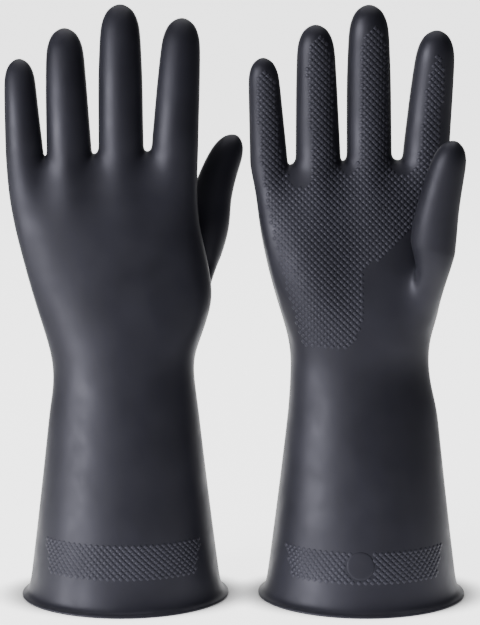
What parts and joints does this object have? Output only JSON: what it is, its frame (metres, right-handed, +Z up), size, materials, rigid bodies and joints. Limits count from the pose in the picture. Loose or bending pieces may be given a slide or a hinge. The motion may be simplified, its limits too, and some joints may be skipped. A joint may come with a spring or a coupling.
{
  "type": "pair of rubber gauntlet gloves",
  "caption": "Pair of heavy dipped rubber gauntlet gloves with gripping palms and flared beaded cuffs, standing on their cuffs, with folding wrists, fingers and thumbs.",
  "frame": {"origin": "on the floor, under the middle of the pair's bounding box", "axes": "+Z up from the cuffs to the fingertips, +X from the left-hand glove to the right-hand glove, +Y away from the right-hand glove's palm"},
  "size_m": [0.2566, 0.106, 0.3301],
  "materials": {
    "rubber_film": "satin, smooth on the back and gauntlet, raised grip on the palm and cuff band",
    "rubber_bead": "satin"
  },
  "bodies": {
    "left_cuff": {"left_cuff_bead": "rubber_bead", "left_gauntlet": "rubber_film"},
    "left_hand": {"left_hand": "rubber_film"},
    "left_thumb_base": {"left_thumb_base": "rubber_film"},
    "left_thumb_tip": {"left_thumb_tip": "rubber_film"},
    "left_index_base": {"left_index_base": "rubber_film"},
    "left_index_tip": {"left_index_tip": "rubber_film"},
    "left_middle_base": {"left_middle_base": "rubber_film"},
    "left_middle_tip": {"left_middle_tip": "rubber_film"},
    "left_ring_base": {"left_ring_base": "rubber_film"},
    "left_ring_tip": {"left_ring_tip": "rubber_film"},
    "left_little_base": {"left_little_base": "rubber_film"},
    "left_little_tip": {"left_little_tip": "rubber_film"},
    "right_cuff": {"right_cuff_bead": "rubber_bead", "right_gauntlet": "rubber_film"},
    "right_hand": {"right_hand": "rubber_film"},
    "right_thumb_base": {"right_thumb_base": "rubber_film"},
    "right_thumb_tip": {"right_thumb_tip": "rubber_film"},
    "right_index_base": {"right_index_base": "rubber_film"},
    "right_index_tip": {"right_index_tip": "rubber_film"},
    "right_middle_base": {"right_middle_base": "rubber_film"},
    "right_middle_tip": {"right_middle_tip": "rubber_film"},
    "right_ring_base": {"right_ring_base": "rubber_film"},
    "right_ring_tip": {"right_ring_tip": "rubber_film"},
    "right_little_base": {"right_little_base": "rubber_film"},
    "right_little_tip": {"right_little_tip": "rubber_film"}
  },
  "joints": [
    {"name": "right_glove_lift", "type": "slide", "parent": "left_cuff", "child": "right_cuff", "axis": [0, 0, 1], "range_m": [0, 0.4]},
    {"name": "left_wrist", "type": "hinge", "parent": "left_cuff", "child": "left_hand", "pos_m": [-0.06337, 0.00003, 0.126], "axis": [-1, 0, 0], "range_deg": [-40, 40], "stiffness_Nm_per_rad": 0.8},
    {"name": "left_thumb_root", "type": "hinge", "parent": "left_hand", "child": "left_thumb_base", "pos_m": [-0.01495, 0.03227, 0.2173], "axis": [0.3635, 0.88, -0.3059], "range_deg": [-35, 20], "stiffness_Nm_per_rad": 0.06},
    {"name": "left_thumb_crease", "type": "hinge", "parent": "left_thumb_base", "child": "left_thumb_tip", "pos_m": [-0.00976, 0.037, 0.23708], "axis": [0.3635, 0.88, -0.3059], "range_deg": [-40, 10], "stiffness_Nm_per_rad": 0.04},
    {"name": "left_index_knuckle", "type": "hinge", "parent": "left_hand", "child": "left_index_base", "pos_m": [-0.03365, 0.00032, 0.26448], "axis": [-0.9982, 0, 0.0599], "range_deg": [-12, 75], "stiffness_Nm_per_rad": 0.06},
    {"name": "left_index_middle_crease", "type": "hinge", "parent": "left_index_base", "child": "left_index_tip", "pos_m": [-0.03213, 0.00289, 0.28995], "axis": [-0.9982, 0, 0.0599], "range_deg": [0, 80], "stiffness_Nm_per_rad": 0.04},
    {"name": "left_middle_knuckle", "type": "hinge", "parent": "left_hand", "child": "left_middle_base", "pos_m": [-0.06395, 0.00027, 0.264], "axis": [-1, 0, -0.0064], "range_deg": [-12, 75], "stiffness_Nm_per_rad": 0.06},
    {"name": "left_middle_middle_crease", "type": "hinge", "parent": "left_middle_base", "child": "left_middle_tip", "pos_m": [-0.06413, 0.00268, 0.29217], "axis": [-1, 0, -0.0064], "range_deg": [0, 80], "stiffness_Nm_per_rad": 0.04},
    {"name": "left_ring_knuckle", "type": "hinge", "parent": "left_hand", "child": "left_ring_base", "pos_m": [-0.09287, 0.00035, 0.26199], "axis": [-0.9991, 0, -0.0418], "range_deg": [-12, 75], "stiffness_Nm_per_rad": 0.06},
    {"name": "left_ring_middle_crease", "type": "hinge", "parent": "left_ring_base", "child": "left_ring_tip", "pos_m": [-0.0939, 0.003, 0.28651], "axis": [-0.9991, 0, -0.0418], "range_deg": [0, 80], "stiffness_Nm_per_rad": 0.04},
    {"name": "left_little_knuckle", "type": "hinge", "parent": "left_hand", "child": "left_little_base", "pos_m": [-0.1177, 0.00059, 0.26147], "axis": [-0.9976, 0, -0.0691], "range_deg": [-12, 75], "stiffness_Nm_per_rad": 0.06},
    {"name": "left_little_middle_crease", "type": "hinge", "parent": "left_little_base", "child": "left_little_tip", "pos_m": [-0.11906, 0.00394, 0.28106], "axis": [-0.9976, 0, -0.0691], "range_deg": [0, 80], "stiffness_Nm_per_rad": 0.04},
    {"name": "right_wrist", "type": "hinge", "parent": "right_cuff", "child": "right_hand", "pos_m": [0.06983, 0.00003, 0.126], "axis": [1, 0, 0], "range_deg": [-40, 40], "stiffness_Nm_per_rad": 0.8},
    {"name": "right_thumb_root", "type": "hinge", "parent": "right_hand", "child": "right_thumb_base", "pos_m": [0.10887, -0.03621, 0.2185], "axis": [-0.3657, 0.8853, 0.2872], "range_deg": [-35, 20], "stiffness_Nm_per_rad": 0.06},
    {"name": "right_thumb_crease", "type": "hinge", "parent": "right_thumb_base", "child": "right_thumb_tip", "pos_m": [0.11195, -0.04165, 0.2392], "axis": [-0.3657, 0.8853, 0.2872], "range_deg": [-40, 10], "stiffness_Nm_per_rad": 0.04},
    {"name": "right_index_knuckle", "type": "hinge", "parent": "right_hand", "child": "right_index_base", "pos_m": [0.10409, -0.00027, 0.25897], "axis": [0.9974, 0, -0.0721], "range_deg": [-12, 48], "stiffness_Nm_per_rad": 0.06},
    {"name": "right_index_middle_crease", "type": "hinge", "parent": "right_index_base", "child": "right_index_tip", "pos_m": [0.1059, -0.00283, 0.28402], "axis": [0.9974, 0, -0.0721], "range_deg": [0, 80], "stiffness_Nm_per_rad": 0.04},
    {"name": "right_middle_knuckle", "type": "hinge", "parent": "right_hand", "child": "right_middle_base", "pos_m": [0.07202, -0.00018, 0.26], "axis": [0.9999, 0, 0.0171], "range_deg": [-12, 75], "stiffness_Nm_per_rad": 0.06},
    {"name": "right_middle_middle_crease", "type": "hinge", "parent": "right_middle_base", "child": "right_middle_tip", "pos_m": [0.07151, -0.00262, 0.29023], "axis": [0.9999, 0, 0.0171], "range_deg": [0, 80], "stiffness_Nm_per_rad": 0.04},
    {"name": "right_ring_knuckle", "type": "hinge", "parent": "right_hand", "child": "right_ring_base", "pos_m": [0.04386, -0.00024, 0.25849], "axis": [0.9995, 0, 0.0302], "range_deg": [-12, 75], "stiffness_Nm_per_rad": 0.06},
    {"name": "right_ring_middle_crease", "type": "hinge", "parent": "right_ring_base", "child": "right_ring_tip", "pos_m": [0.04303, -0.00294, 0.28612], "axis": [0.9995, 0, 0.0302], "range_deg": [0, 80], "stiffness_Nm_per_rad": 0.04},
    {"name": "right_little_knuckle", "type": "hinge", "parent": "right_hand", "child": "right_little_base", "pos_m": [0.01645, -0.00041, 0.25597], "axis": [0.9979, 0, 0.0646], "range_deg": [-12, 75], "stiffness_Nm_per_rad": 0.06},
    {"name": "right_little_middle_crease", "type": "hinge", "parent": "right_little_base", "child": "right_little_tip", "pos_m": [0.01491, -0.00387, 0.27975], "axis": [0.9979, 0, 0.0646], "range_deg": [0, 80], "stiffness_Nm_per_rad": 0.04}
  ]
}
